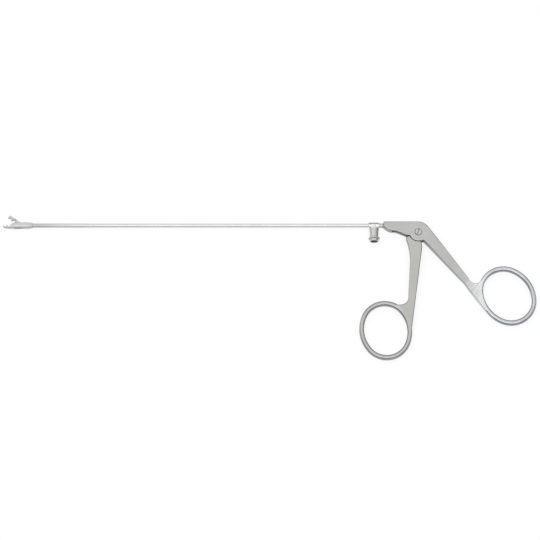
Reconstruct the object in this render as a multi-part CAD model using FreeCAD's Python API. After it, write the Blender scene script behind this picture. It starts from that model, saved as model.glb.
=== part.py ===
"""Laryngeal forceps with an irrigation port, lying on its side, in millimetres.

While it is built, X runs along the shaft from the jaws (-X) to the handle, Y points from the rings to the shaft,
Z is across the handle's thickness, and zero is on the shaft's axis at the handle body's front face.
When it is saved, zero moves to the middle of the surface that the instrument lies on.
The instrument is built as it lies, with its jaws open.
"""
import FreeCAD, Part
import math
import os

# Shaft, from the front face of the handle body to the rear end of the jaw head
SHAFT_LENGTH = 212.5
TUBE_RADIUS = 1.25
TUBE_WALL = 0.30
TUBE_SEAT = 4.0
HEAD_SEAT = 2.0
BRAZE_GAP = 0.02
RUNNING_GAP = 0.03
SIDE_GAP = 0.05

# Drive rod inside the tube, and the bush that seals it behind the port
ROD_RADIUS = 0.60
ROD_SEAT = 1.6
SEAL_LENGTH = 4.0
SEAL_FRONT = 2.6

# Jaw head and fixed jaw
HEAD_RADIUS = 2.00
HEAD_REAR_RADIUS = 1.60
HEAD_SHOULDER = 2.2
HEAD_LENGTH = 11.1
JAW_REACH = 6.6
NOSE_LENGTH = 3.4
NOSE_BLUNT = 0.9
NOSE_RADIUS = 1.75
NOSE_TIP_RADIUS = 0.95
JAW_HALF_WIDTH = 1.45
JAW_TIP_HALF = 0.65
RAMP_FOOT = 0.55
RAMP_LENGTH = 3.0

# Jaw mechanism
JAW_PIVOT_DROP = 0.90
JAW_PIVOT_BACK = 3.9
JAW_SWING = 36.5
JAW_PIN_RADIUS = 0.45
DRIVE_PIN_RADIUS = 0.40
TANG_HALF = 0.40
TANG_BOSS_RADIUS = 0.85
TANG_LUG_RADIUS = 0.80
FORK_CHEEK = 0.45
FORK_EYE_RADIUS = 0.65
FORK_ROOT_RADIUS = 0.85
FORK_CHEEK_ANGLES = (260.0, 70.0)
HEAD_SLOT_START = 0.30
HEAD_WINDOW = 4.6
HEAD_FLOOR = 1.00
TANG_ROOM = 0.15
TANG_FOOT_BACK = 0.40
TANG_FOOT_DROP = 0.20
TANG_HEEL_BACK = 0.50
TANG_BOSS_ANGLES = (230.0, 20.0)
TANG_LUG_ANGLES = (10.0, 100.0)

# Teeth, as seen from the side
FRONT_TOOTH = 0.25
SECOND_TOOTH = -0.05
BITE_DEPTH = 0.90
CUP_DEPTH = 1.05
TOOTH_LAND = 0.35
VALLEY_LAND = 0.45
STEEP_FLANK = 0.60
LONG_FLANK = 1.05
BITE_GAP = 0.10
JAW_TOP_FRONT = 1.05
JAW_TOP_REAR = 1.35
JAW_TOP_END = 1.7
JAW_CROWN_RADIUS = 1.9

# Handle housing
PLATE_THICKNESS = 5.6
HOUSING_TOP = 1.9
HOUSING_NOSE = 1.4
HOUSING_CHIN = (3.2, -3.65)
HOUSING_BELLY = (7.6, -4.15)
HOUSING_HEEL = (14.3, -6.95)
EDGE_BEVEL = 0.45
HANDLE_PIVOT_X = 21.0
HANDLE_PIVOT_DROP = 4.95
HANDLE_SWING = 13.0
LOBE_RADIUS = 5.75
LOBE_GAP = 0.15
BEND_RADIUS = 8.0
CHIN_ROUND = 3.0
BELLY_ROUND = 8.0
CORNER_ROUND = 0.6
LOBE_CORNER_ROUND = 0.3
LOBE_START_BEHIND = 4.0
LOBE_MIDDLE_ANGLE = -110.0
LOBE_END_ANGLE = -59.0
SLOT_HALF = 1.30
SLOT_FRONT = 5.2
SLOT_ROOF = 1.10
ROD_PASSAGE_GAP = 0.15

# Rear arm, measured along and across its own direction from the pivot, and thumb ring
ARM_ANGLE = -51.0
ARM_UPPER_START = 7.05
ARM_UPPER_SLOPE = -2.85
ARM_LOWER_START = -0.75
ARM_LOWER_SLOPE = 2.6
ARM_LENGTH = 52.0
ARM_TAPER_START = 12.0
ARM_UPPER_END = 41.5
ARM_LOWER_END = 42.0
THUMB_CROOK = [(55.2, -37.3), (58.9, -34.9)]
THUMB_HEEL = [(62.5, -56.2), (54.6, -45.9)]
THUMB_RING = (74.3, -44.9)
THUMB_LONG = 16.3
THUMB_SHORT = 13.55
THUMB_ANGLE = -57.0

# Finger handle: arm and ring
ARM_LEFT = [(13.3, -8.2), (15.45, -16.3), (15.8, -23.5), (14.6, -45.5)]
FINGER_CROOK = [(13.3, -49.4), (10.0, -50.8), (7.4, -50.9)]
ARM_RIGHT = [(22.75, -11.45), (23.3, -14.2)]
FINGER_RING = (0.85, -66.8)
FINGER_LONG = 15.6
FINGER_SHORT = 12.95
FINGER_ANGLE = -82.0
FINGER_TAPER_SHARE = 0.25

# Both rings
RING_WIDTH = 2.9
RING_THICKNESS = 3.9
RING_BEVEL = 0.85

# Tongue of the finger handle, inside the housing
TONGUE_HALF = 1.20
TONGUE_TIP_HALF = 0.60
TONGUE_TIP_RADIUS = 0.90
TONGUE_TIP_WIDTH = 1.5
TONGUE_HUB_RADIUS = 3.4
TONGUE_FOOT_HALF = 2.72
TONGUE_SHOULDER_DROP = 1.44
ROOT_INSET = 1.2
ROOT_LIFT_ANGLE = 170.0
END_PIN_RADIUS = 0.45
END_FORK_REACH = 2.1
END_FORK_ROOT = 3.4

# Pivot screw
SCREW_HEAD_RADIUS = 2.05
SCREW_HEAD_HEIGHT = 1.10
SCREW_SHANK_RADIUS = 1.50
SCREW_THREAD_RADIUS = 1.25
SCREW_SLOT_WIDTH = 0.80
SCREW_SLOT_DEPTH = 0.90
SCREW_SLOT_ANGLE = 72.0
SCREW_PROUD = 0.20

# Irrigation port
COLLAR_FRONT = 9.06
COLLAR_REAR = 2.70
COLLAR_WALL = 0.50
FERRULE_WALL = 0.17
BEAD_HEIGHT = 0.28
FERRULE_BEAD_WIDTH = 0.35
FERRULE_BEADS = (-2.0, -0.75)
COLLAR_BEVEL = 0.25
PORT_X = -5.7
PORT_NECK_RADIUS = 2.1
PORT_TOP = 2.4
PORT_LENGTH = 7.75
PORT_BARREL_RADIUS = 2.95
PORT_WAIST_RADIUS = 2.66
PORT_FLANGE_RADIUS = 3.45
PORT_RIM_RADIUS = 2.80
PORT_FLANGE_WIDTH = 0.9
PORT_RIM_LENGTH = 1.4
PORT_WAIST_DROP = 2.2
PORT_WAIST_RISE = 0.7
PORT_BEVEL = 0.2
LUER_MOUTH_RADIUS = 2.15
LUER_DEPTH = 7.0
LUER_TAPER = 0.06
WATER_HOLE_RADIUS = 0.60

# How far a side wall and a flat face may lean, and how near two corners are the same
UPRIGHT_TILT = 0.1
FLAT_TILT = 0.9
NEARLY = 0.001

# Worked out from the sizes above
HALF_PLATE = PLATE_THICKNESS / 2
HEAD_REAR = -SHAFT_LENGTH
HEAD_FRONT = HEAD_REAR - HEAD_LENGTH
JAW_TIP = HEAD_FRONT - JAW_REACH
JAW_PIVOT = (HEAD_FRONT + JAW_PIVOT_BACK, -JAW_PIVOT_DROP)
HANDLE_PIVOT = (HANDLE_PIVOT_X, -HANDLE_PIVOT_DROP)
HALF_SWING = HANDLE_SWING / 2
ROD_HALF_TRAVEL = HANDLE_PIVOT_DROP * math.tan(math.radians(HALF_SWING))
CRANK_HEIGHT = ROD_HALF_TRAVEL / math.tan(math.radians(JAW_SWING / 2))
DRIVE_PIN = (JAW_PIVOT[0] + ROD_HALF_TRAVEL, CRANK_HEIGHT - JAW_PIVOT_DROP)
END_PIN = (HANDLE_PIVOT_X + ROD_HALF_TRAVEL, 0.0)
END_FORK_FRONT = END_PIN[0] - END_FORK_REACH - END_FORK_ROOT
TUBE_BORE = TUBE_RADIUS - TUBE_WALL
COLLAR_RADIUS = TUBE_RADIUS + COLLAR_WALL
FERRULE_RADIUS = TUBE_RADIUS + FERRULE_WALL
FORK_OUTER = TANG_HALF + SIDE_GAP + FORK_CHEEK
HEAD_SLOT_HALF = FORK_OUTER + SIDE_GAP
HEAD_SLOT_REAR = HEAD_REAR - HEAD_SEAT - HEAD_SHOULDER
LOBE_SPACE = LOBE_RADIUS + LOBE_GAP
FAR = 3 * HEAD_RADIUS
BEYOND = 1.0


def vec(x, y, z=0.0):
    return FreeCAD.Vector(x, y, z)


def polygon(points):
    corners = [vec(x, y) for x, y in points]
    return Part.makePolygon(corners + corners[:1])


def slab(wire, low, high):
    """A closed outline in the plane of the handle, as a plate from one height to another."""
    plate = Part.Face(wire).extrude(vec(0, 0, high - low))
    plate.translate(vec(0, 0, low))
    return plate


def prism(points, half):
    return slab(polygon(points), -half, half)


def cylinder_x(radius, start, end, y=0.0):
    return Part.makeCylinder(radius, end - start, vec(start, y), vec(1, 0))


def cylinder_z(radius, centre, low, high):
    return Part.makeCylinder(radius, high - low, vec(centre[0], centre[1], low), vec(0, 0, 1))


def cylinder_down(radius, x, top, bottom):
    return Part.makeCylinder(radius, top - bottom, vec(x, top), vec(0, -1))


def revolved_x(points):
    """A solid of revolution about the shaft's axis, from points given as place along it and radius."""
    corners = [vec(x, radius) for x, radius in points]
    return Part.Face(Part.makePolygon(corners + corners[:1])).revolve(vec(0, 0), vec(1, 0), 360)


def revolved_y(points):
    """The same about an upright axis, from points given as radius and height."""
    corners = [vec(radius, y) for radius, y in points]
    return Part.Face(Part.makePolygon(corners + corners[:1])).revolve(vec(0, 0), vec(0, 1), 360)


def fused(first, *others):
    return first.multiFuse(list(others)).removeSplitter()


def turned(shape, centre, degrees):
    copy = shape.copy()
    copy.rotate(vec(*centre), vec(0, 0, 1), degrees)
    return copy


def moved(point, along, degrees):
    """The point that lies a distance away in a direction."""
    angle = math.radians(degrees)
    return (point[0] + along * math.cos(angle), point[1] + along * math.sin(angle))


def meeting(first, second):
    """Where two straight lines cross, each given by two points."""
    (ax, ay), (bx, by) = first
    (cx, cy), (dx, dy) = second
    across = (bx - ax) * (dy - cy) - (by - ay) * (dx - cx)
    share = ((cx - ax) * (dy - cy) - (cy - ay) * (dx - cx)) / across
    return (ax + share * (bx - ax), ay + share * (by - ay))


def is_upright(edge):
    start, end = edge.Vertexes[0].Point, edge.Vertexes[-1].Point
    return math.hypot(start.x - end.x, start.y - end.y) < NEARLY < abs(start.z - end.z)


def rounded_corner(shape, corner, radius):
    """Rounds the plate's upright edge at a corner of its outline."""
    near = [
        edge for edge in shape.Edges
        if is_upright(edge)
        and math.hypot(edge.Vertexes[0].X - corner[0], edge.Vertexes[0].Y - corner[1]) < NEARLY
    ]
    return shape.makeFillet(radius, near)


def tilt_of(face):
    """How far a face leans out of the upright: 0 for a side wall, 1 for one of the plate's two faces."""
    low_u, high_u, low_v, high_v = face.ParameterRange
    return abs(face.normalAt((low_u + high_u) / 2, (low_v + high_v) / 2).z)


def rim_edges(shape):
    """The edges between the plate's two faces and its side walls."""
    rims = []
    for edge in shape.Edges:
        tilts = [tilt_of(face) for face in shape.ancestorsOfType(edge, Part.Face)]
        if min(tilts) < UPRIGHT_TILT and max(tilts) > FLAT_TILT:
            rims.append(edge)
    return rims


def bevelled(shape, size):
    return shape.makeChamfer(size, rim_edges(shape))


def oval(centre, long_half, short_half, degrees, offset):
    """An oval of four arcs, given by its two half lengths, drawn at an offset outside itself."""
    end_radius = (short_half ** 2 / long_half + short_half) / 2
    reach = long_half - end_radius
    spare = short_half - end_radius
    drop = (reach ** 2 - spare ** 2) / (2 * spare)
    lean = math.degrees(math.atan2(drop, reach))
    edges = []
    for side in (0, 180):
        end = moved(centre, reach, degrees + side)
        flank = moved(centre, drop, degrees + side - 90)
        for middle, radius, first, last in ((end, end_radius, -lean, lean),
                                            (flank, short_half + drop, lean, 180 - lean)):
            swing = [vec(*moved(middle, radius + offset, degrees + side + angle))
                     for angle in (first, (first + last) / 2, last)]
            edges.append(Part.Arc(*swing).toShape())
    return Part.Wire(edges)


def ring_inside(*opening):
    """All that lies inside the crest of a ring: an arm's plate stops there."""
    return slab(oval(*opening, RING_WIDTH / 2), -HALF_PLATE, HALF_PLATE)


def ring(*opening):
    """A finger ring with bevelled edges, given by its opening: centre, half lengths and direction."""
    half = RING_THICKNESS / 2
    band = slab(oval(*opening, RING_WIDTH), -half, half).cut(slab(oval(*opening, 0), -half, half))
    return bevelled(band, RING_BEVEL)


def jaw_outside():
    """The round outside of the head and of the closed jaws, ending in a long nose."""
    return revolved_x([
        (JAW_TIP, 0), (JAW_TIP, NOSE_TIP_RADIUS), (JAW_TIP + NOSE_BLUNT, NOSE_RADIUS),
        (JAW_TIP + NOSE_LENGTH, HEAD_RADIUS), (HEAD_REAR - HEAD_SHOULDER, HEAD_RADIUS),
        (HEAD_REAR, HEAD_REAR_RADIUS), (HEAD_REAR, 0),
    ])


def jaw_flats():
    """The jaws are narrower than the head and run in to their tips: this keeps what lies between their sides."""
    side = [(JAW_TIP, JAW_TIP_HALF), (JAW_TIP + NOSE_LENGTH / 2, JAW_HALF_WIDTH),
            (HEAD_FRONT - BEYOND, JAW_HALF_WIDTH), (HEAD_FRONT, HEAD_RADIUS), (HEAD_REAR + BEYOND, HEAD_RADIUS)]
    points = side + [(x, -z) for x, z in reversed(side)]
    wire = Part.makePolygon([vec(x, -FAR, z) for x, z in points + points[:1]])
    return Part.Face(wire).extrude(vec(0, 2 * FAR))


def bite_line():
    """The fixed jaw's toothed edge, from the front tooth to the foot of the head's ramp."""
    steps = [
        (TOOTH_LAND, FRONT_TOOTH), (STEEP_FLANK, -BITE_DEPTH), (VALLEY_LAND, -BITE_DEPTH),
        (LONG_FLANK, SECOND_TOOTH), (TOOTH_LAND, SECOND_TOOTH), (STEEP_FLANK, -CUP_DEPTH),
        (VALLEY_LAND, -CUP_DEPTH), (LONG_FLANK, RAMP_FOOT),
    ]
    x = JAW_TIP
    points = []
    for length, height in steps:
        x += length
        points.append((x, height))
    return points


def ramp_top():
    foot = bite_line()[-1]
    return (foot[0] + RAMP_LENGTH, HEAD_RADIUS)


def tang_underside():
    """The underside of the moving jaw's tang when the jaws are closed."""
    foot = bite_line()[-1]
    return [(foot[0] - TANG_FOOT_BACK, foot[1] - TANG_FOOT_DROP), (HEAD_FRONT + TANG_HEEL_BACK, -BITE_DEPTH)]


def head_slot():
    """The slot for the fork and the tang: open at the top, and through the head's underside at its front."""
    front = HEAD_FRONT + HEAD_SLOT_START
    window_rear = front + HEAD_WINDOW
    slot = prism([
        (front, -FAR), (window_rear, -FAR), (window_rear, -HEAD_FLOOR), (HEAD_SLOT_REAR, -HEAD_FLOOR),
        (HEAD_SLOT_REAR, FAR), (front, FAR),
    ], HEAD_SLOT_HALF)
    foot, heel = tang_underside()
    front_wall = foot[0] - TANG_HALF
    tang_slot = prism([
        (front_wall, foot[1] + TANG_ROOM), (foot[0], foot[1] - TANG_ROOM), (heel[0], heel[1] - TANG_ROOM),
        (heel[0], FAR), (front_wall, FAR),
    ], TANG_HALF + SIDE_GAP)
    return fused(slot, tang_slot)


def jaw_head():
    """The slotted head with the fixed jaw: its teeth, its ramp, the tube's socket and the pivot pin's hole."""
    above = [(JAW_TIP - BEYOND, FRONT_TOOTH)] + bite_line() + [ramp_top()]
    above += [(ramp_top()[0], FAR), (JAW_TIP - BEYOND, FAR)]
    head = jaw_outside().common(jaw_flats()).cut(prism(above, FAR))
    bore = cylinder_x(TUBE_BORE, HEAD_SLOT_REAR - BEYOND, HEAD_REAR)
    socket = cylinder_x(TUBE_RADIUS + BRAZE_GAP, HEAD_REAR - HEAD_SEAT, HEAD_REAR + BEYOND)
    pin_hole = cylinder_z(JAW_PIN_RADIUS + BRAZE_GAP, JAW_PIVOT, -FAR, FAR)
    return head.cut(head_slot()).cut(bore).cut(socket).cut(pin_hole)


def jaw_top_rear():
    """Where the moving jaw's straight top ends, closed."""
    return (JAW_PIVOT[0] - JAW_TOP_END, JAW_TOP_REAR)


def jaw_blade():
    """The moving jaw's toothed blade, closed: its teeth follow the fixed jaw's, a small gap above them."""
    bite = [(x, y + BITE_GAP) for x, y in bite_line()]
    ramp = (ramp_top()[0], ramp_top()[1] + BITE_GAP)
    top_front = (bite[2][0] - BITE_GAP, JAW_TOP_FRONT)
    heel = meeting((bite[-1], ramp), (top_front, jaw_top_rear()))
    blade = prism(bite[1:] + [heel, top_front], JAW_HALF_WIDTH)
    crown = cylinder_x(JAW_CROWN_RADIUS, JAW_TIP - BEYOND, HEAD_FRONT + BEYOND, JAW_TOP_REAR - JAW_CROWN_RADIUS)
    return blade.common(jaw_outside()).common(jaw_flats()).common(crown)


def moving_jaw():
    """The toothed blade with its tang, made closed and then swung open about the pivot pin."""
    pin = (JAW_PIVOT[0] - ROD_HALF_TRAVEL, DRIVE_PIN[1])
    foot, heel = tang_underside()
    round_boss = [moved(JAW_PIVOT, TANG_BOSS_RADIUS, angle) for angle in TANG_BOSS_ANGLES]
    round_lug = [moved(pin, TANG_LUG_RADIUS, angle) for angle in TANG_LUG_ANGLES]
    tang = prism([(foot[0] - VALLEY_LAND, JAW_TOP_FRONT), foot, heel] + round_boss + round_lug + [jaw_top_rear()],
                 TANG_HALF)
    boss = cylinder_z(TANG_BOSS_RADIUS, JAW_PIVOT, -TANG_HALF, TANG_HALF)
    lug = cylinder_z(TANG_LUG_RADIUS, pin, -TANG_HALF, TANG_HALF)
    jaw = fused(jaw_blade(), tang, boss, lug)
    pivot_hole = cylinder_z(JAW_PIN_RADIUS + RUNNING_GAP, JAW_PIVOT, -FAR, FAR)
    nearer = moved(JAW_PIVOT, CRANK_HEIGHT, 90 + JAW_SWING / 2)
    hole = DRIVE_PIN_RADIUS + RUNNING_GAP
    drive_slot = fused(
        cylinder_z(hole, pin, -FAR, FAR), cylinder_z(hole, nearer, -FAR, FAR),
        prism([moved(nearer, hole, 180), moved(nearer, hole, 0), moved(pin, hole, 0), moved(pin, hole, 180)], FAR),
    )
    return turned(jaw.cut(pivot_hole).cut(drive_slot), JAW_PIVOT, -JAW_SWING)


def jaw_pivot_pin():
    return cylinder_z(JAW_PIN_RADIUS, JAW_PIVOT, -FAR, FAR).common(jaw_outside())


def rod_tip_fork():
    """The fork on the rod's front end: two cheeks beside the tang, held on a round root in the tube."""
    root_front = HEAD_SLOT_REAR - FORK_ROOT_RADIUS
    root = cylinder_x(FORK_ROOT_RADIUS, root_front, HEAD_REAR - HEAD_SEAT / 2)
    cheek_rear = HEAD_SLOT_REAR - 2 * SIDE_GAP
    low, high = TANG_HALF + SIDE_GAP, FORK_OUTER
    round_eye = [moved(DRIVE_PIN, FORK_EYE_RADIUS, angle) for angle in FORK_CHEEK_ANGLES]
    outline = [(cheek_rear, -FORK_EYE_RADIUS)] + round_eye + [(cheek_rear, FORK_EYE_RADIUS)]
    cheek = fused(slab(polygon(outline), low, high), cylinder_z(FORK_EYE_RADIUS, DRIVE_PIN, low, high))
    other = cheek.mirror(vec(0, 0), vec(0, 0, 1))
    pin_hole = cylinder_z(DRIVE_PIN_RADIUS + BRAZE_GAP, DRIVE_PIN, -FAR, FAR)
    socket = cylinder_x(ROD_RADIUS + BRAZE_GAP, HEAD_SLOT_REAR + SIDE_GAP, HEAD_REAR)
    return fused(root, cheek, other).cut(pin_hole).cut(socket)


def jaw_drive_pin():
    return cylinder_z(DRIVE_PIN_RADIUS, DRIVE_PIN, -FORK_OUTER, FORK_OUTER)


def drive_rod():
    """The rod, from its seat in the front fork to its seat in the rear fork."""
    return cylinder_x(ROD_RADIUS, HEAD_SLOT_REAR + 2 * SIDE_GAP, END_FORK_FRONT + ROD_SEAT)


def rod_end_fork():
    """The fork on the rod's rear end, whose cheeks stand beside the tip of the finger handle's tongue."""
    rear = END_FORK_FRONT + END_FORK_ROOT
    root = cylinder_x(TONGUE_TIP_RADIUS, END_FORK_FRONT, rear)
    low, high = TONGUE_TIP_HALF + SIDE_GAP, TONGUE_HALF
    outline = [(rear - TONGUE_TIP_HALF, -TONGUE_TIP_RADIUS), (END_PIN[0], -TONGUE_TIP_RADIUS),
               (END_PIN[0], TONGUE_TIP_RADIUS), (rear - TONGUE_TIP_HALF, TONGUE_TIP_RADIUS)]
    cheek = fused(slab(polygon(outline), low, high), cylinder_z(TONGUE_TIP_RADIUS, END_PIN, low, high))
    other = cheek.mirror(vec(0, 0), vec(0, 0, 1))
    pin_hole = cylinder_z(END_PIN_RADIUS + BRAZE_GAP, END_PIN, -FAR, FAR)
    socket = cylinder_x(ROD_RADIUS + BRAZE_GAP, END_FORK_FRONT - BEYOND, END_FORK_FRONT + ROD_SEAT + SIDE_GAP)
    return fused(root, cheek, other).cut(pin_hole).cut(socket)


def rod_end_pin():
    return cylinder_z(END_PIN_RADIUS, END_PIN, -TONGUE_HALF, TONGUE_HALF)


def shaft_tube():
    """The outer tube, open at both ends, with the water hole above the port."""
    tube = cylinder_x(TUBE_RADIUS, HEAD_REAR - HEAD_SEAT, TUBE_SEAT)
    bore = cylinder_x(TUBE_BORE, HEAD_REAR - HEAD_SEAT - BEYOND, TUBE_SEAT + BEYOND)
    return tube.cut(bore).cut(cylinder_down(WATER_HOLE_RADIUS, PORT_X, 0, -COLLAR_RADIUS))


def rod_seal():
    bush = cylinder_x(TUBE_BORE - BRAZE_GAP, -SEAL_FRONT, SEAL_LENGTH - SEAL_FRONT)
    return bush.cut(cylinder_x(ROD_RADIUS + RUNNING_GAP, -SEAL_FRONT - BEYOND, SEAL_LENGTH))


def shaft_ferrule():
    """The ring with two beads that fills the space between the port's collar and the housing."""
    bore = TUBE_RADIUS + BRAZE_GAP
    half_bead, crest = FERRULE_BEAD_WIDTH / 2, FERRULE_RADIUS + BEAD_HEIGHT
    outside = [(-COLLAR_REAR, FERRULE_RADIUS)]
    for middle in FERRULE_BEADS:
        outside += [
            (middle - half_bead - BEAD_HEIGHT, FERRULE_RADIUS), (middle - half_bead, crest),
            (middle + half_bead, crest), (middle + half_bead + BEAD_HEIGHT, FERRULE_RADIUS),
        ]
    return revolved_x([(-COLLAR_REAR, bore)] + outside + [(0, FERRULE_RADIUS), (0, bore)])


def port_collar():
    """The sleeve with bevelled ends that holds the port on the tube, with its water hole."""
    bore, low = TUBE_RADIUS + BRAZE_GAP, COLLAR_RADIUS - COLLAR_BEVEL
    sleeve = revolved_x([
        (-COLLAR_FRONT, bore), (-COLLAR_FRONT, low), (-COLLAR_FRONT + COLLAR_BEVEL, COLLAR_RADIUS),
        (-COLLAR_REAR - COLLAR_BEVEL, COLLAR_RADIUS), (-COLLAR_REAR, low), (-COLLAR_REAR, bore),
    ])
    return sleeve.cut(cylinder_down(WATER_HOLE_RADIUS, PORT_X, 0, -2 * COLLAR_RADIUS))


def irrigation_port():
    """A female Luer hub that hangs from the collar: neck, barrel with a waist, flange, rim and tapered bore."""
    bottom = -PORT_TOP - PORT_LENGTH
    rim_top = bottom + PORT_RIM_LENGTH
    flange_top = rim_top + PORT_FLANGE_WIDTH
    soft = PORT_BEVEL
    hub = revolved_y([
        (0, 0), (PORT_NECK_RADIUS, 0), (PORT_NECK_RADIUS, -PORT_TOP),
        (PORT_BARREL_RADIUS, -PORT_TOP), (PORT_WAIST_RADIUS, -PORT_TOP - PORT_WAIST_DROP),
        (PORT_WAIST_RADIUS, flange_top + PORT_WAIST_RISE),
        (PORT_FLANGE_RADIUS - soft, flange_top), (PORT_FLANGE_RADIUS, flange_top - soft),
        (PORT_FLANGE_RADIUS, rim_top + soft), (PORT_RIM_RADIUS, rim_top),
        (PORT_RIM_RADIUS, bottom), (0, bottom),
    ])
    deep_radius = LUER_MOUTH_RADIUS - LUER_DEPTH * LUER_TAPER / 2
    luer = Part.makeCone(LUER_MOUTH_RADIUS, deep_radius, LUER_DEPTH, vec(0, bottom), vec(0, 1))
    water = cylinder_down(WATER_HOLE_RADIUS, 0, 0, bottom + LUER_DEPTH - BEYOND)
    hub = hub.cut(fused(luer, water))
    hub.translate(vec(PORT_X, 0))
    return hub.cut(cylinder_x(COLLAR_RADIUS + BRAZE_GAP, -COLLAR_FRONT, -COLLAR_REAR))


def arm_point(along, across):
    """A point given along and across the rear arm, from the handle's pivot."""
    return moved(moved(HANDLE_PIVOT, along, ARM_ANGLE), across, ARM_ANGLE + 90)


def arm_upper(along):
    return arm_point(along, ARM_UPPER_START + math.tan(math.radians(ARM_UPPER_SLOPE)) * along)


def arm_lower(along):
    return arm_point(along, ARM_LOWER_START + math.tan(math.radians(ARM_LOWER_SLOPE)) * along)


def thickness_taper(origin, degrees, start, length):
    """Full thickness up to the start of the taper, then down to a ring's thickness."""
    thin = RING_THICKNESS / 2 - SIDE_GAP
    reach = length + 4 * RING_WIDTH
    side = [(-length, HALF_PLATE), (start, HALF_PLATE), (length, thin), (reach, thin)]
    points = side + [(x, -z) for x, z in reversed(side)]
    wire = Part.makePolygon([vec(x, -length, z) for x, z in points + points[:1]])
    block = Part.Face(wire).extrude(vec(0, 2 * length))
    block.translate(vec(*origin))
    return turned(block, origin, degrees)


def housing_outline():
    """The housing and rear arm in one closed outline, with the lobe round the pivot."""
    corner = meeting(((0, HOUSING_TOP), (BEYOND, HOUSING_TOP)), (arm_upper(0), arm_upper(ARM_LENGTH)))
    start, end = lobe_start(), lobe_end()
    crook, knee = arm_upper(ARM_UPPER_END), arm_lower(ARM_LOWER_END)
    lobe_middle = moved(HANDLE_PIVOT, LOBE_RADIUS, LOBE_MIDDLE_ANGLE)
    edges = [
        Part.makeLine(vec(0, -HOUSING_NOSE), vec(0, HOUSING_TOP)),
        Part.makeLine(vec(0, HOUSING_TOP), vec(*corner)),
        Part.makeLine(vec(*corner), vec(*crook)),
        Part.Arc(vec(*crook), vec(*THUMB_CROOK[0]), vec(*THUMB_CROOK[1])).toShape(),
        Part.makeLine(vec(*THUMB_CROOK[1]), vec(*THUMB_RING)),
        Part.makeLine(vec(*THUMB_RING), vec(*THUMB_HEEL[0])),
        Part.Arc(vec(*THUMB_HEEL[0]), vec(*THUMB_HEEL[1]), vec(*knee)).toShape(),
        Part.makeLine(vec(*knee), vec(*end)),
        Part.Arc(vec(*end), vec(*lobe_middle), vec(*start)).toShape(),
        Part.makeLine(vec(*start), vec(*HOUSING_HEEL)),
        Part.makeLine(vec(*HOUSING_HEEL), vec(*HOUSING_BELLY)),
        Part.makeLine(vec(*HOUSING_BELLY), vec(*HOUSING_CHIN)),
        Part.makeLine(vec(*HOUSING_CHIN), vec(0, -HOUSING_NOSE)),
    ]
    return Part.Wire(edges), corner


def lobe_start():
    """Where the lobe's arc starts, just behind the housing's heel."""
    heel = math.degrees(math.atan2(HOUSING_HEEL[1] - HANDLE_PIVOT[1], HOUSING_HEEL[0] - HANDLE_PIVOT[0]))
    return moved(HANDLE_PIVOT, LOBE_RADIUS, heel + LOBE_START_BEHIND)


def lobe_end():
    """Where the lobe ends, in the notch beside the rear arm."""
    return moved(HANDLE_PIVOT, LOBE_RADIUS, LOBE_END_ANGLE)


def handle_body():
    """Housing, rear arm and thumb ring in one bevelled piece, slotted for the tongue and bored for tube and screw."""
    wire, corner = housing_outline()
    plate = slab(wire, -HALF_PLATE, HALF_PLATE)
    roundings = [
        (corner, BEND_RADIUS), (HOUSING_CHIN, CHIN_ROUND), (HOUSING_BELLY, BELLY_ROUND),
        ((0, HOUSING_TOP), CORNER_ROUND), ((0, -HOUSING_NOSE), CORNER_ROUND), (HOUSING_HEEL, CORNER_ROUND),
        (lobe_start(), LOBE_CORNER_ROUND), (lobe_end(), CORNER_ROUND),
    ]
    for place, radius in roundings:
        plate = rounded_corner(plate, place, radius)
    thumb = (THUMB_RING, THUMB_LONG, THUMB_SHORT, THUMB_ANGLE)
    taper = thickness_taper(HANDLE_PIVOT, ARM_ANGLE, ARM_TAPER_START, ARM_LENGTH)
    plate = bevelled(plate.cut(ring_inside(*thumb)), EDGE_BEVEL).common(taper)
    return fused(plate, ring(*thumb)).cut(housing_slot()).cut(housing_bores())


def housing_slot():
    """The slot in which the tongue and the rod's end move."""
    depth = HANDLE_PIVOT_DROP + LOBE_SPACE + BEYOND
    channel = prism([(SLOT_FRONT, -depth), (END_PIN[0], -depth), (END_PIN[0], SLOT_ROOF), (SLOT_FRONT, SLOT_ROOF)],
                    SLOT_HALF)
    rear = cylinder_z(SLOT_ROOF, END_PIN, -SLOT_HALF, SLOT_HALF)
    pocket = cylinder_z(LOBE_SPACE, HANDLE_PIVOT, -SLOT_HALF, SLOT_HALF)
    return fused(channel, rear, pocket)


def housing_bores():
    """The tube's socket, the rod's passage and the stepped hole of the pivot screw."""
    tube = cylinder_x(TUBE_RADIUS + BRAZE_GAP, -BEYOND, TUBE_SEAT + SIDE_GAP)
    rod = cylinder_x(ROD_RADIUS + ROD_PASSAGE_GAP, 0, SLOT_FRONT + BEYOND)
    seat = HALF_PLATE - SCREW_HEAD_HEIGHT
    head = cylinder_z(SCREW_HEAD_RADIUS + RUNNING_GAP, HANDLE_PIVOT, seat, HALF_PLATE + BEYOND)
    shank = cylinder_z(SCREW_SHANK_RADIUS + RUNNING_GAP, HANDLE_PIVOT, -SLOT_HALF, HALF_PLATE)
    thread = cylinder_z(SCREW_THREAD_RADIUS + BRAZE_GAP, HANDLE_PIVOT, -HALF_PLATE - BEYOND, 0)
    return fused(tube, rod).fuse(fused(head, shank, thread))


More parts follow.
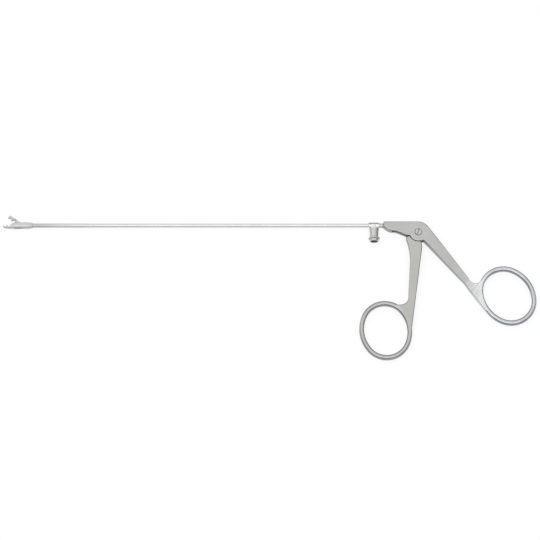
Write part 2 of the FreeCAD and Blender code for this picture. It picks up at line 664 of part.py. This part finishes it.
def pivot_screw():
    """A slotted screw: bevelled head in the near cheek, shank through the tongue, thread in the far cheek."""
    top = HALF_PLATE + SCREW_PROUD
    head_floor = HALF_PLATE - SCREW_HEAD_HEIGHT + BRAZE_GAP
    head = cylinder_z(SCREW_HEAD_RADIUS, HANDLE_PIVOT, head_floor, top)
    rim = [edge for edge in head.Edges if abs(edge.BoundBox.ZMin - top) < NEARLY]
    head = head.makeChamfer(SCREW_PROUD, rim)
    shank = cylinder_z(SCREW_SHANK_RADIUS, HANDLE_PIVOT, -SLOT_HALF, top - SCREW_SLOT_DEPTH)
    thread = cylinder_z(SCREW_THREAD_RADIUS, HANDLE_PIVOT, -HALF_PLATE, 0)
    reach, half = 2 * SCREW_HEAD_RADIUS, SCREW_SLOT_WIDTH / 2
    x, y = HANDLE_PIVOT
    slot = slab(polygon([(x - reach, y - half), (x + reach, y - half), (x + reach, y + half), (x - reach, y + half)]),
                top - SCREW_SLOT_DEPTH, top + BEYOND)
    return fused(head, shank, thread).cut(turned(slot, HANDLE_PIVOT, SCREW_SLOT_ANGLE))


def finger_arm():
    """The finger handle's arm as a plate: two long curved sides that run into the ring."""
    left, right = ARM_LEFT, ARM_RIGHT
    ring_side = moved(FINGER_RING, FINGER_SHORT + RING_WIDTH - EDGE_BEVEL / 2, 0)
    edges = [
        Part.Arc(vec(*left[0]), vec(*left[1]), vec(*left[2])).toShape(),
        Part.makeLine(vec(*left[2]), vec(*left[3])),
        Part.Arc(vec(*left[3]), vec(*FINGER_CROOK[0]), vec(*FINGER_CROOK[1])).toShape(),
        Part.makeLine(vec(*FINGER_CROOK[1]), vec(*FINGER_CROOK[2])),
        Part.makeLine(vec(*FINGER_CROOK[2]), vec(*FINGER_RING)),
        Part.makeLine(vec(*FINGER_RING), vec(*ring_side)),
        Part.makeLine(vec(*ring_side), vec(*right[1])),
        Part.makeLine(vec(*right[1]), vec(*right[0])),
        Part.makeLine(vec(*right[0]), vec(*HANDLE_PIVOT)),
        Part.makeLine(vec(*HANDLE_PIVOT), vec(*left[0])),
    ]
    return rounded_corner(slab(Part.Wire(edges), -HALF_PLATE, HALF_PLATE), left[0], CORNER_ROUND)


def tongue():
    """The thin tongue, drawn upright over the pivot and leaned back to the open position."""
    x, y = HANDLE_PIVOT
    tip = (x, y + HANDLE_PIVOT_DROP)
    shoulder = HANDLE_PIVOT_DROP - TONGUE_SHOULDER_DROP
    hub = cylinder_z(TONGUE_HUB_RADIUS, HANDLE_PIVOT, -TONGUE_HALF, TONGUE_HALF)
    bar = prism([(x - TONGUE_FOOT_HALF, y), (x + TONGUE_FOOT_HALF, y),
                 (x + TONGUE_TIP_WIDTH, y + shoulder), (x - TONGUE_TIP_WIDTH, y + shoulder)], TONGUE_HALF)
    blade = prism([(x - TONGUE_TIP_RADIUS, y), (x + TONGUE_TIP_RADIUS, y),
                   (tip[0] + TONGUE_TIP_RADIUS, tip[1]), (tip[0] - TONGUE_TIP_RADIUS, tip[1])], TONGUE_TIP_HALF)
    eye = cylinder_z(TONGUE_TIP_RADIUS, tip, -TONGUE_TIP_HALF, TONGUE_TIP_HALF)
    hole = END_PIN_RADIUS + RUNNING_GAP
    farther = (x, y + HANDLE_PIVOT_DROP / math.cos(math.radians(HALF_SWING)))
    upright = fused(hub, bar, blade, eye)
    upright = upright.cut(fused(
        cylinder_z(hole, tip, -FAR, FAR), cylinder_z(hole, farther, -FAR, FAR),
        prism([(x - hole, tip[1]), (x + hole, tip[1]), (x + hole, farther[1]), (x - hole, farther[1])], FAR),
    ))
    return turned(upright, HANDLE_PIVOT, -HALF_SWING)


def tongue_root():
    """The thin web that joins the tongue's hub to the arm's shoulder."""
    left = (ARM_LEFT[0][0] + ROOT_INSET, ARM_LEFT[0][1])
    right = (ARM_RIGHT[0][0] - ROOT_INSET / 2, ARM_RIGHT[0][1] - ROOT_INSET)
    low_left = (left[0] + ROOT_INSET, right[1])
    return prism([moved(HANDLE_PIVOT, TONGUE_HUB_RADIUS, ROOT_LIFT_ANGLE), left, low_left, right,
                  moved(HANDLE_PIVOT, TONGUE_HUB_RADIUS, 0)], TONGUE_HALF)


def finger_handle():
    """The finger handle: arm and ring, its top hollowed round the lobe, with the tongue that drives the rod."""
    finger = (FINGER_RING, FINGER_LONG, FINGER_SHORT, FINGER_ANGLE)
    drop = HANDLE_PIVOT[1] - FINGER_RING[1]
    taper = thickness_taper(HANDLE_PIVOT, -90, drop * FINGER_TAPER_SHARE, drop + RING_WIDTH)
    arm = bevelled(finger_arm().common(taper).cut(ring_inside(*finger)), EDGE_BEVEL)
    arm = arm.cut(cylinder_z(LOBE_SPACE, HANDLE_PIVOT, -HALF_PLATE, HALF_PLATE))
    handle = fused(arm, ring(*finger), fused(tongue(), tongue_root()))
    return handle.cut(cylinder_z(SCREW_SHANK_RADIUS + RUNNING_GAP, HANDLE_PIVOT, -FAR, FAR))


def save_all():
    shapes = {
        "handle_body": handle_body(),
        "finger_handle": finger_handle(),
        "pivot_screw": pivot_screw(),
        "shaft_tube": shaft_tube(),
        "shaft_ferrule": shaft_ferrule(),
        "port_collar": port_collar(),
        "irrigation_port": irrigation_port(),
        "rod_seal": rod_seal(),
        "drive_rod": drive_rod(),
        "rod_end_fork": rod_end_fork(),
        "rod_end_pin": rod_end_pin(),
        "rod_tip_fork": rod_tip_fork(),
        "jaw_drive_pin": jaw_drive_pin(),
        "jaw_head": jaw_head(),
        "moving_jaw": moving_jaw(),
        "jaw_pivot_pin": jaw_pivot_pin(),
    }
    os.makedirs("parts", exist_ok=True)
    box = Part.makeCompound(list(shapes.values())).optimalBoundingBox(False, False)
    to_base = vec(-(box.XMin + box.XMax) / 2, -(box.YMin + box.YMax) / 2, -box.ZMin)
    print("shaft axis at the housing's front face:", [round(value, 4) for value in to_base])
    for name, shape in shapes.items():
        placed = shape.copy()
        placed.translate(to_base)
        placed.exportStep("parts/" + name + ".step")


save_all()
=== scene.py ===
"""Looks of the laryngeal forceps: forged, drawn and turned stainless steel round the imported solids.

Everything is in metres, in the solids' own frame: X runs along the shaft from the jaws to the handle, Y from the
finger ring towards the shaft, and Z up from the floor. The two handles are softened copies of their solids, with
the rounded edges of a polished forging. The other pieces are the solids themselves with their own steels.
"""
import math

import bpy
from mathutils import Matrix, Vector


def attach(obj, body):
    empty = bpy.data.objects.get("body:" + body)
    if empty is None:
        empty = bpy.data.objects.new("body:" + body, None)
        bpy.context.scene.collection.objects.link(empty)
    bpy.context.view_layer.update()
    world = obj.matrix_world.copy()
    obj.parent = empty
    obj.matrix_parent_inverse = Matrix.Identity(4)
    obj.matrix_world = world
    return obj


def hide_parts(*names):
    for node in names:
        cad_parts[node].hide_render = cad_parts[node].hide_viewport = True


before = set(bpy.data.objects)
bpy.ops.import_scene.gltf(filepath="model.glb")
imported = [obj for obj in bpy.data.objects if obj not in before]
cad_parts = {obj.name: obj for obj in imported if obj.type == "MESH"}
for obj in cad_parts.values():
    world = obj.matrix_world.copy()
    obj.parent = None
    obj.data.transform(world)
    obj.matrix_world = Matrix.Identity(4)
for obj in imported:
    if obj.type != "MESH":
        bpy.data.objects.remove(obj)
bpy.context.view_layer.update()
MM = 0.001
WHITE = (1.0, 1.0, 1.0)

# Camera: a long lens, as high above the floor as the photograph's
CAMERA_ELEVATION = 71.5
CAMERA_TARGET = (0.56 * MM, 11.19 * MM, 3.45 * MM)
FRAME_WIDTH = 325.8 * MM
LENS = 300.0
SENSOR = 36.0

# Shape of the handles' copies: voxels, then rounds of smoothing
FORGING_VOXEL = 0.25 * MM
FORGING_ROUNDS = 3
FORGING_SMOOTHING = 0.5

# How far shading rounds off an edge, and how many samples an edge, the mask of its wear and painted shade, and the
# mask of a recess's painted shade take
EDGE_EASE = 0.12 * MM
EDGE_SAMPLES = 6
EDGE_MASK_SAMPLES = 4
RECESS_SAMPLES = 8

# Masks: the span of a noise, or of a part of the eased normal, over which each one grows
NOISE_SPAN = (0.3, 0.7)
EDGE_MASK_SPAN = (0.90, 0.995)
FLANK_SPAN = (0.25, 0.97)
BACKWARD_SPAN = (0.12, 0.40)
UPWARD_SPAN = (0.10, 0.40)
COLLAR_BACK_SPAN = (0.12, 0.45)

# Satin forging: blasted grain, clouds and brush strokes, then glossier worn edges with painted shade on them, and
# painted shade in recesses
GRAIN_SCALE = 5200.0
GRAIN_DETAIL = 2.0
GRAIN_BUMP = 0.10
GRAIN_DEPTH = 0.02 * MM
GRAIN_ROUGHNESS = (-0.03, 0.03)
FORGED_CLOUD_SCALE = 70.0
FORGED_CLOUD_DETAIL = 4.0
FORGED_CLOUD_ROUGHNESS = 0.6
FORGED_CLOUD_SHADE = 0.90
STROKE_SCALE = 900.0
STROKE_STRETCH = (1.0, 0.12, 1.0)
STROKE_TURN = math.radians(40)
SATIN_ROUGHNESS = (0.27, 0.36)
FORGED_EDGE_RADIUS = 0.5 * MM
FORGED_EDGE_SHADE = 0.85
WORN_GLOSS = 0.08
FORGED_RECESS = 4.0 * MM
FORGED_COVER = (0.05, 0.8)

# The rear arm's satin gives way to a polished throat, and the throat to the thumb ring, along X
POLISH_SPAN = (118 * MM, 127 * MM)
POLISH_STRAY = 3 * MM
RING_SPAN = (128 * MM, 136 * MM)
# The throat's near-white colour is a painted sheen; its real polish is in the roughness
THROAT_SHEEN_COLOUR = (0.93, 0.935, 0.94)
RING_COLOUR = (0.69, 0.70, 0.71)
POLISHED_ROUNDING = 0.8 * MM
POLISHED_ROUGHNESS = (0.09, 0.15)

# Drawn and turned steel: which way its fine lines run, and how they, its clouds and the painted shade on its edges
# look
DRAWN_ALONG_X = (0.02, 1.0, 1.0)
TURNED_ROUND_X = (1.0, 0.05, 0.05)
TURNED_ROUND_Y = (0.05, 1.0, 0.05)
WITHOUT_LINES = (1.0, 1.0, 1.0)
LINE_DETAIL = 4.0
LINE_DEPTH = 0.01 * MM
LINE_ROUGHNESS = (0.8, 1.25)
DRAWN_CLOUD_SCALE = 120.0
DRAWN_CLOUD_SHADE = 0.93
DRAWN_EDGE_RADIUS = 0.2 * MM
DRAWN_EDGE_SHADE = 0.6

# The tube, darker and rougher towards the jaw head, along X
JAW_END_SPAN = (-139 * MM, -98 * MM)
JAW_END_COLOUR = (0.68, 0.665, 0.64)
JAW_END_ROUGHNESS = 0.55

# The port's root, where it is brazed to the collar, painted the collar's white as a painted highlight and made
# rougher, along Y
ROOT_SPAN = (36.9 * MM, 37.4 * MM)
ROOT_ROUGHNESS = 0.4
COLLAR_COLOUR = (0.96, 0.96, 0.95)

# Painted shade multiplied into the steel's colour: on upright flanks, rear upper edges and the collar's rear, on
# all edges, and in narrow recesses and the port's bore
FLANK_SHADE_TINT = (0.47, 0.51, 0.56)
GREY_FLANK_SHADE_TINT = (0.62, 0.62, 0.61)
RING_FLANK_SHADE_TINT = (0.62, 0.63, 0.64)
BACK_SHADE_TINT = (0.30, 0.30, 0.29)
BACK_EDGE_SHADE_TINT = (0.50, 0.50, 0.50)
EDGE_SHADE_TINT = (0.46, 0.47, 0.47)
RECESS_SHADE_TINT = (0.16, 0.17, 0.19)
BORE_SHADE_TINT = (0.03, 0.035, 0.04)
HOLLOW_SHADE_TINT = (0.24, 0.27, 0.30)

# The rod's white bush
BUSH_COLOURS = ((0.80, 0.80, 0.78), (0.90, 0.90, 0.88))
BUSH_CLOUD_SCALE = 400.0
BUSH_GRAIN_SCALE = 2500.0
BUSH_ROUGHNESS = (0.40, 0.52)
BUSH_BUMP = 0.05
BUSH_DEPTH = 0.02 * MM

# Paper floor, and how far its white overrides its shading where it is seen
FLOOR_SIZE = 6.0
FLOOR_COLOURS = ((0.95, 0.95, 0.95), (0.965, 0.965, 0.965))
FIBRE_SCALE = 300.0
FIBRE_DETAIL = 4.0
FLOOR_ROUGHNESS = 0.9
FLOOR_SPECULAR = 0.1
FLOOR_GLOW = 0.84

# The tent's grey by height, from the horizon at 0 to straight up at 1
TENT_STOPS = (
    (0.0, (0.27, 0.28, 0.30)),
    (0.30, (0.27, 0.28, 0.30)),
    (0.52, (0.50, 0.51, 0.53)),
    (0.80, (0.94, 0.94, 0.94)),
    (0.94, (0.84, 0.84, 0.835)),
)

# Lights: name, place, size, power in watts, and whether the metal mirrors it
LIGHTS = (
    ("tent_top", (-0.1, 0.1, 1.5), (1.8, 1.8), 9.0, False),
    ("front_softbox", (-0.1, -0.66, 1.0), (1.6, 0.65), 3.0, True),
    ("back_card", (-0.1, 0.95, 0.38), (1.9, 0.45), 2.3, True),
    ("left_card", (-1.1, 0.4, 0.8), (0.9, 0.9), 1.6, True),
)


class Shader:
    """One material's node tree, with a Principled shader at its end."""

    def __init__(self, name):
        self.material = bpy.data.materials.new(name)
        self.material.use_nodes = True
        self.tree = self.material.node_tree
        self.principled = self.tree.nodes["Principled BSDF"]
        self.place = self.node("ShaderNodeTexCoord").outputs["Object"]

    def node(self, kind, links=(), **settings):
        """A node with its attributes set and its inputs linked or filled."""
        made = self.tree.nodes.new(kind)
        for name, value in settings.items():
            setattr(made, name, value)
        for socket, value in dict(links).items():
            self.fill(made.inputs[socket], value)
        return made

    def fill(self, socket, value):
        """Links an input to an output, or sets it to a constant."""
        if isinstance(value, bpy.types.NodeSocket):
            self.tree.links.new(value, socket)
        else:
            socket.default_value = value

    def set(self, **values):
        """Sets sockets of the Principled shader to constants."""
        for socket, value in values.items():
            self.principled.inputs[socket.replace("_", " ")].default_value = value

    def link(self, output, socket):
        """Links an output to a socket of the Principled shader."""
        self.tree.links.new(output, self.principled.inputs[socket])

    def along(self, axis):
        """How far along an axis of the frame a point of the piece is."""
        return self.node("ShaderNodeSeparateXYZ", {"Vector": self.place}).outputs[axis]

    def noise(self, scale, stretch=(1, 1, 1), detail=3.0, roughness=0.5, turn=0.0):
        """Noise in the piece's own space, turned about Z; a stretch below 1 draws it out along that axis."""
        turned = self.node("ShaderNodeVectorRotate", {"Vector": self.place, "Angle": turn}, rotation_type="Z_AXIS")
        mapped = self.node("ShaderNodeMapping", {"Vector": turned.outputs["Vector"], "Scale": stretch})
        made = self.node("ShaderNodeTexNoise", {
            "Vector": mapped.outputs["Vector"], "Scale": scale, "Detail": detail, "Roughness": roughness,
        })
        return made.outputs["Fac"]

    def spread(self, value, first, last, span=NOISE_SPAN):
        """A value over its span, mapped to run from first to last and held there outside the span."""
        made = self.node("ShaderNodeMapRange", {
            "Value": value, "From Min": span[0], "From Max": span[1], "To Min": first, "To Max": last,
        })
        return made.outputs["Result"]

    def math(self, operation, first, second=0.0):
        return self.node("ShaderNodeMath", {0: first, 1: second}, operation=operation).outputs["Value"]

    def mixed(self, factor, first, second, blend="MIX"):
        """Two colours mixed by a factor."""
        made = self.node("ShaderNodeMix", {"Factor": factor}, data_type="RGBA", blend_type=blend)
        # By number, because the node's sockets for numbers and vectors have the same names as those for colours
        first_socket, second_socket, result = made.inputs[6], made.inputs[7], made.outputs[2]
        for socket, colour in ((first_socket, first), (second_socket, second)):
            self.fill(socket, (*colour, 1.0) if isinstance(colour, tuple) else colour)
        return result

    def clouded(self, clouds, shade, colour):
        """A colour with clouds that darken it to a share."""
        dark = tuple(shade * part for part in colour)
        return self.mixed(self.spread(clouds, 0.0, 1.0), dark, colour)

    def eased(self, radius, samples=EDGE_SAMPLES):
        """The surface's normal, with sharp edges rounded by a radius."""
        return self.node("ShaderNodeBevel", {"Radius": radius}, samples=samples).outputs["Normal"]

    def bumped(self, height, strength, distance, radius=EDGE_EASE):
        """Bump over a normal that eases the solid's sharp edges."""
        made = self.node("ShaderNodeBump", {
            "Height": height, "Strength": strength, "Distance": distance, "Normal": self.eased(radius),
        })
        self.link(made.outputs["Normal"], "Normal")


def edge_mask(shader, radius):
    """1 on edges and 0 elsewhere, from how far the eased normal leans from the true one; it carries painted edge
    shade, and in the satin forging the gloss of wear too.
    """
    plain = shader.node("ShaderNodeNewGeometry").outputs["Normal"]
    dot = shader.node("ShaderNodeVectorMath", {0: shader.eased(radius, EDGE_MASK_SAMPLES), 1: plain},
                      operation="DOT_PRODUCT")
    return shader.spread(dot.outputs["Value"], 1.0, 0.0, EDGE_MASK_SPAN)


def facing(shader, rounding=EDGE_EASE):
    """The three parts of the direction that a surface looks in, with the edges eased by a radius."""
    return shader.node("ShaderNodeSeparateXYZ", {"Vector": shader.eased(rounding)}).outputs


def flank(shader, rounding=EDGE_EASE):
    """1 on upright flanks and 0 on faces that look up or down."""
    upward = facing(shader, rounding)["Z"]
    return shader.spread(shader.math("ABSOLUTE", upward), 1.0, 0.0, FLANK_SPAN)


def back_edge(shader):
    """1 on the rounded upper edges that look away from the front, and 0 elsewhere: where painted shade darkens
    them.
    """
    towards = facing(shader)
    backward = shader.spread(towards["Y"], 0.0, 1.0, BACKWARD_SPAN)
    return shader.math("MULTIPLY", backward, shader.spread(towards["Z"], 0.0, 1.0, UPWARD_SPAN))


def recess(shader, reach, cover):
    """1 inside slots and gaps and 0 in the open, by how much of the sky is free within reach."""
    made = shader.node("ShaderNodeAmbientOcclusion", {"Distance": reach}, samples=RECESS_SAMPLES)
    return shader.spread(made.outputs["AO"], 1.0, 0.0, cover)


def tinted(shader, mask, base, tint, share=1.0):
    """A base colour multiplied by a tint where the mask says, to a share: here always painted shade."""
    factor = mask if share == 1.0 else shader.math("MULTIPLY", mask, share)
    return shader.mixed(factor, base, tint, blend="MULTIPLY")


def satin_forging(name, colour, polish=False):
    """Satin-blasted forged steel with glossier worn edges, painted shade on its edges, flanks, rear upper edges
    and recesses, and a polished throat and ring if asked.
    """
    shader = Shader(name)
    grain = shader.noise(GRAIN_SCALE, detail=GRAIN_DETAIL)
    clouds = shader.noise(FORGED_CLOUD_SCALE, detail=FORGED_CLOUD_DETAIL, roughness=FORGED_CLOUD_ROUGHNESS)
    strokes = shader.noise(STROKE_SCALE, stretch=STROKE_STRETCH, turn=STROKE_TURN)
    on_edges = edge_mask(shader, FORGED_EDGE_RADIUS)
    base = shader.clouded(clouds, FORGED_CLOUD_SHADE, colour)
    rounding = EDGE_EASE
    if polish:
        along = shader.along("X")
        strayed = shader.math("ADD", along, shader.spread(strokes, -POLISH_STRAY, POLISH_STRAY))
        polished = shader.spread(strayed, 0.0, 1.0, POLISH_SPAN)
        on_ring = shader.spread(along, 0.0, 1.0, RING_SPAN)
        # Painted sheen: the polished throat takes a near-white colour
        base = shader.mixed(polished, base, shader.mixed(on_ring, THROAT_SHEEN_COLOUR, RING_COLOUR))
        rounding = shader.math("ADD", EDGE_EASE, shader.math("MULTIPLY", polished, POLISHED_ROUNDING))
    upright = flank(shader, rounding)
    # Painted shade darkens every edge
    base = tinted(shader, on_edges, base, EDGE_SHADE_TINT, FORGED_EDGE_SHADE)
    # Painted shade darkens upright flanks
    base = tinted(shader, upright, base, FLANK_SHADE_TINT)
    # Painted shade darkens the rounded upper edges at the rear
    base = tinted(shader, back_edge(shader), base, BACK_EDGE_SHADE_TINT)
    if polish:
        # Painted shade darkens the thumb ring's flanks further
        base = tinted(shader, shader.math("MULTIPLY", upright, on_ring), base, RING_FLANK_SHADE_TINT)
    # Painted shade darkens slots, gaps and recesses
    base = tinted(shader, recess(shader, FORGED_RECESS, FORGED_COVER), base, HOLLOW_SHADE_TINT)
    shader.link(base, "Base Color")
    satin = shader.math("ADD", shader.spread(strokes, *SATIN_ROUGHNESS), shader.spread(grain, *GRAIN_ROUGHNESS))
    satin = shader.math("SUBTRACT", satin, shader.math("MULTIPLY", on_edges, WORN_GLOSS))
    if polish:
        bright = shader.math("MULTIPLY", shader.spread(strokes, *POLISHED_ROUGHNESS), polished)
        kept = shader.math("MULTIPLY", satin, shader.math("SUBTRACT", 1.0, polished))
        satin = shader.math("ADD", kept, bright)
    shader.link(satin, "Roughness")
    shader.set(Metallic=1.0)
    shader.bumped(grain, GRAIN_BUMP, GRAIN_DEPTH, rounding)
    return shader.material


def drawn_steel(name, colour, rough, stretch, scale=1500.0, bump=0.05, depth=0.6 * MM, cover=(0.15, 0.75),
                recess_shade=RECESS_SHADE_TINT, flank_shade=0.0, darker_jaw_end=False, painted_back_shade=False, painted_root_highlight=False):
    """Steel with fine lines along one direction: drawn along its length, or turned round its axis.

    Recesses up to depth take a tint of painted shade, by the share of free sky in cover, and edges take painted
    shade too.
    The last four are looks of one place: painted shade on upright flanks, the tube's darker and rougher end by the
    jaw head, painted shade on the collar's rear and a painted highlight on the port's root.
    """
    shader = Shader(name)
    lines = shader.noise(scale, stretch=stretch, detail=LINE_DETAIL)
    on_edges = edge_mask(shader, DRAWN_EDGE_RADIUS)
    base = shader.clouded(shader.noise(DRAWN_CLOUD_SCALE), DRAWN_CLOUD_SHADE, colour)
    roughness = shader.spread(lines, *(rough * share for share in LINE_ROUGHNESS))
    if darker_jaw_end:
        along = shader.along("X")
        base = shader.mixed(shader.spread(along, 0.0, 1.0, JAW_END_SPAN), JAW_END_COLOUR, base)
        roughness = shader.math("ADD", roughness, shader.spread(along, JAW_END_ROUGHNESS, 0.0, JAW_END_SPAN))
    # Painted shade darkens every edge
    base = tinted(shader, on_edges, base, EDGE_SHADE_TINT, DRAWN_EDGE_SHADE)
    if flank_shade:
        # Painted shade darkens upright flanks, to a share
        base = tinted(shader, flank(shader), base, GREY_FLANK_SHADE_TINT, flank_shade)
    if painted_back_shade:
        # Painted shade darkens faces and edges of the collar that look to the rear
        base = tinted(shader, shader.spread(facing(shader)["Y"], 0.0, 1.0, COLLAR_BACK_SPAN), base, BACK_SHADE_TINT)
    # Painted shade darkens recesses, such as the port's bore
    base = tinted(shader, recess(shader, depth, cover), base, recess_shade)
    # Painted highlight: the port's root takes the collar's white
    if painted_root_highlight:
        root = shader.spread(shader.along("Y"), 0.0, 1.0, ROOT_SPAN)
        base = shader.mixed(root, base, COLLAR_COLOUR)
        roughness = shader.math("ADD", roughness, shader.math("MULTIPLY", root, ROOT_ROUGHNESS))
    shader.link(base, "Base Color")
    shader.link(roughness, "Roughness")
    shader.set(Metallic=1.0)
    shader.bumped(lines, bump, LINE_DEPTH)
    return shader.material


def white_bush(name):
    """Milky fluoropolymer with a faint cloudiness."""
    shader = Shader(name)
    clouds = shader.noise(BUSH_CLOUD_SCALE)
    shader.link(shader.mixed(shader.spread(clouds, 0.0, 1.0), *BUSH_COLOURS), "Base Color")
    shader.link(shader.spread(shader.noise(BUSH_GRAIN_SCALE), *BUSH_ROUGHNESS), "Roughness")
    shader.bumped(clouds, BUSH_BUMP, BUSH_DEPTH)
    return shader.material


def softened_copy(node, body, material):
    """A node's solid with eased edges and smooth blends, as one fine mesh that stands in for it."""
    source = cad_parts[node]
    piece = bpy.data.objects.new(node + "_forging", source.data.copy())
    piece.matrix_world = source.matrix_world.copy()
    bpy.context.scene.collection.objects.link(piece)
    remesh = piece.modifiers.new("Grain", "REMESH")
    remesh.mode = "VOXEL"
    remesh.voxel_size = FORGING_VOXEL
    smooth = piece.modifiers.new("Ease", "SMOOTH")
    smooth.factor = FORGING_SMOOTHING
    smooth.iterations = FORGING_ROUNDS
    graph = bpy.context.evaluated_depsgraph_get()
    mesh = bpy.data.meshes.new_from_object(piece.evaluated_get(graph))
    piece.modifiers.clear()
    piece.data = mesh
    mesh.shade_smooth()
    mesh.materials.clear()
    mesh.materials.append(material)
    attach(piece, body)
    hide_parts(node)


def dress(nodes, material):
    """Gives solids their material."""
    for node in nodes:
        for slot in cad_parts[node].material_slots:
            slot.material = material


def make_object():
    satin = satin_forging("satin_forging", (0.625, 0.618, 0.59))
    polished = satin_forging("polished_forging", (0.63, 0.628, 0.61), polish=True)
    softened_copy("handle_body", "frame", polished)
    softened_copy("finger_handle", "finger_lever", satin)
    tube = drawn_steel("drawn_tube", (0.80, 0.785, 0.76), 0.11, DRAWN_ALONG_X, darker_jaw_end=True, flank_shade=0.6)
    collar = drawn_steel("collar_steel", COLLAR_COLOUR, 0.38, TURNED_ROUND_X, scale=3000.0, depth=0.3 * MM,
                         painted_back_shade=True)
    ferrule = drawn_steel("ferrule_steel", (0.80, 0.805, 0.80), 0.20, TURNED_ROUND_X, scale=3000.0,
                          flank_shade=0.6)
    port = drawn_steel("turned_port", (0.70, 0.705, 0.685), 0.42, TURNED_ROUND_Y, scale=3500.0, bump=0.12,
                       depth=4.0 * MM, cover=(0.5, 0.8), recess_shade=BORE_SHADE_TINT, flank_shade=0.15, painted_root_highlight=True)
    jaws = drawn_steel("jaw_steel", (0.72, 0.715, 0.70), 0.50, WITHOUT_LINES, scale=4000.0, bump=0.10,
                       depth=0.4 * MM, flank_shade=0.5)
    screw = drawn_steel("screw_steel", (0.70, 0.70, 0.67), 0.30, WITHOUT_LINES, scale=2500.0, depth=1.4 * MM,
                        cover=(0.0, 0.6))
    rod = drawn_steel("rod_steel", (0.62, 0.62, 0.61), 0.28, DRAWN_ALONG_X)
    dress(["shaft_tube"], tube)
    dress(["port_collar"], collar)
    dress(["shaft_ferrule"], ferrule)
    dress(["irrigation_port"], port)
    dress(["jaw_head", "moving_jaw"], jaws)
    dress(["pivot_screw"], screw)
    dress(["drive_rod", "rod_end_fork", "rod_end_pin", "rod_tip_fork", "jaw_drive_pin", "jaw_pivot_pin"], rod)
    dress(["rod_seal"], white_bush("seal_bush"))


def aimed(thing, place, target):
    """Puts a lamp or the camera at a place, looking at a target."""
    thing.location = place
    thing.rotation_euler = (Vector(target) - Vector(place)).to_track_quat("-Z", "Y").to_euler()


def area_light(name, place, size, power, seen_in_metal):
    """A white panel that faces the forceps from a place and isn't seen by the camera."""
    data = bpy.data.lights.new(name, "AREA")
    data.shape = "RECTANGLE"
    data.size, data.size_y = size
    data.energy = power
    lamp = bpy.data.objects.new(name, data)
    bpy.context.scene.collection.objects.link(lamp)
    lamp.visible_camera = False
    lamp.visible_glossy = seen_in_metal
    aimed(lamp, place, CAMERA_TARGET)


def studio_floor():
    """White paper that shows plain white to the eye, in the steel and through glass, and keeps the shadow."""
    half = FLOOR_SIZE / 2
    mesh = bpy.data.meshes.new("studio_floor")
    mesh.from_pydata([(-half, -half, 0), (half, -half, 0), (half, half, 0), (-half, half, 0)], [], [(0, 1, 2, 3)])
    floor = bpy.data.objects.new("studio_floor", mesh)
    bpy.context.scene.collection.objects.link(floor)
    shader = Shader("studio_paper")
    fibres = shader.noise(FIBRE_SCALE, detail=FIBRE_DETAIL)
    shader.link(shader.mixed(shader.spread(fibres, 0.0, 1.0), *FLOOR_COLOURS), "Base Color")
    shader.set(Roughness=FLOOR_ROUGHNESS, Specular_IOR_Level=FLOOR_SPECULAR)
    seen = shader.node("ShaderNodeLightPath").outputs
    direct = shader.math("MAXIMUM", seen["Is Camera Ray"], seen["Is Glossy Ray"])
    direct = shader.math("MAXIMUM", direct, seen["Is Transmission Ray"])
    white = shader.node("ShaderNodeEmission", {"Color": (*WHITE, 1.0), "Strength": 1.0})
    paper = shader.node("ShaderNodeMixShader", {
        0: shader.math("MULTIPLY", direct, FLOOR_GLOW), 1: shader.principled.outputs["BSDF"],
        2: white.outputs["Emission"],
    })
    shader.tree.links.new(paper.outputs["Shader"], shader.tree.nodes["Material Output"].inputs["Surface"])
    mesh.materials.append(shader.material)


def studio_world():
    """A soft tent: bright overhead, darker and a little blue towards the horizon."""
    world = bpy.data.worlds.new("studio_tent")
    bpy.context.scene.world = world
    world.use_nodes = True
    tree = world.node_tree
    direction = tree.nodes.new("ShaderNodeTexCoord")
    parts = tree.nodes.new("ShaderNodeSeparateXYZ")
    ramp = tree.nodes.new("ShaderNodeValToRGB")
    tree.links.new(direction.outputs["Generated"], parts.inputs["Vector"])
    tree.links.new(parts.outputs["Z"], ramp.inputs["Fac"])
    tree.links.new(ramp.outputs["Color"], tree.nodes["Background"].inputs["Color"])
    stops = ramp.color_ramp.elements
    stops[0].position, stops[-1].position = TENT_STOPS[0][0], TENT_STOPS[-1][0]
    for place, _ in TENT_STOPS[1:-1]:
        stops.new(place)
    for stop, (_, colour) in zip(stops, TENT_STOPS):
        stop.color = (*colour, 1.0)


def make_studio():
    studio_floor()
    studio_world()
    for light in LIGHTS:
        area_light(*light)


def make_camera():
    angle = math.radians(CAMERA_ELEVATION)
    distance = FRAME_WIDTH * LENS / SENSOR
    back = Vector((0, -math.cos(angle), math.sin(angle)))
    camera = bpy.data.objects.new("camera", bpy.data.cameras.new("camera"))
    camera.data.lens = LENS
    camera.data.sensor_width = SENSOR
    camera.data.clip_end = 3 * distance
    bpy.context.scene.collection.objects.link(camera)
    aimed(camera, Vector(CAMERA_TARGET) + back * distance, CAMERA_TARGET)
    bpy.context.scene.camera = camera


make_camera()
make_object()
make_studio()
bpy.context.scene.view_settings.view_transform = "Standard"
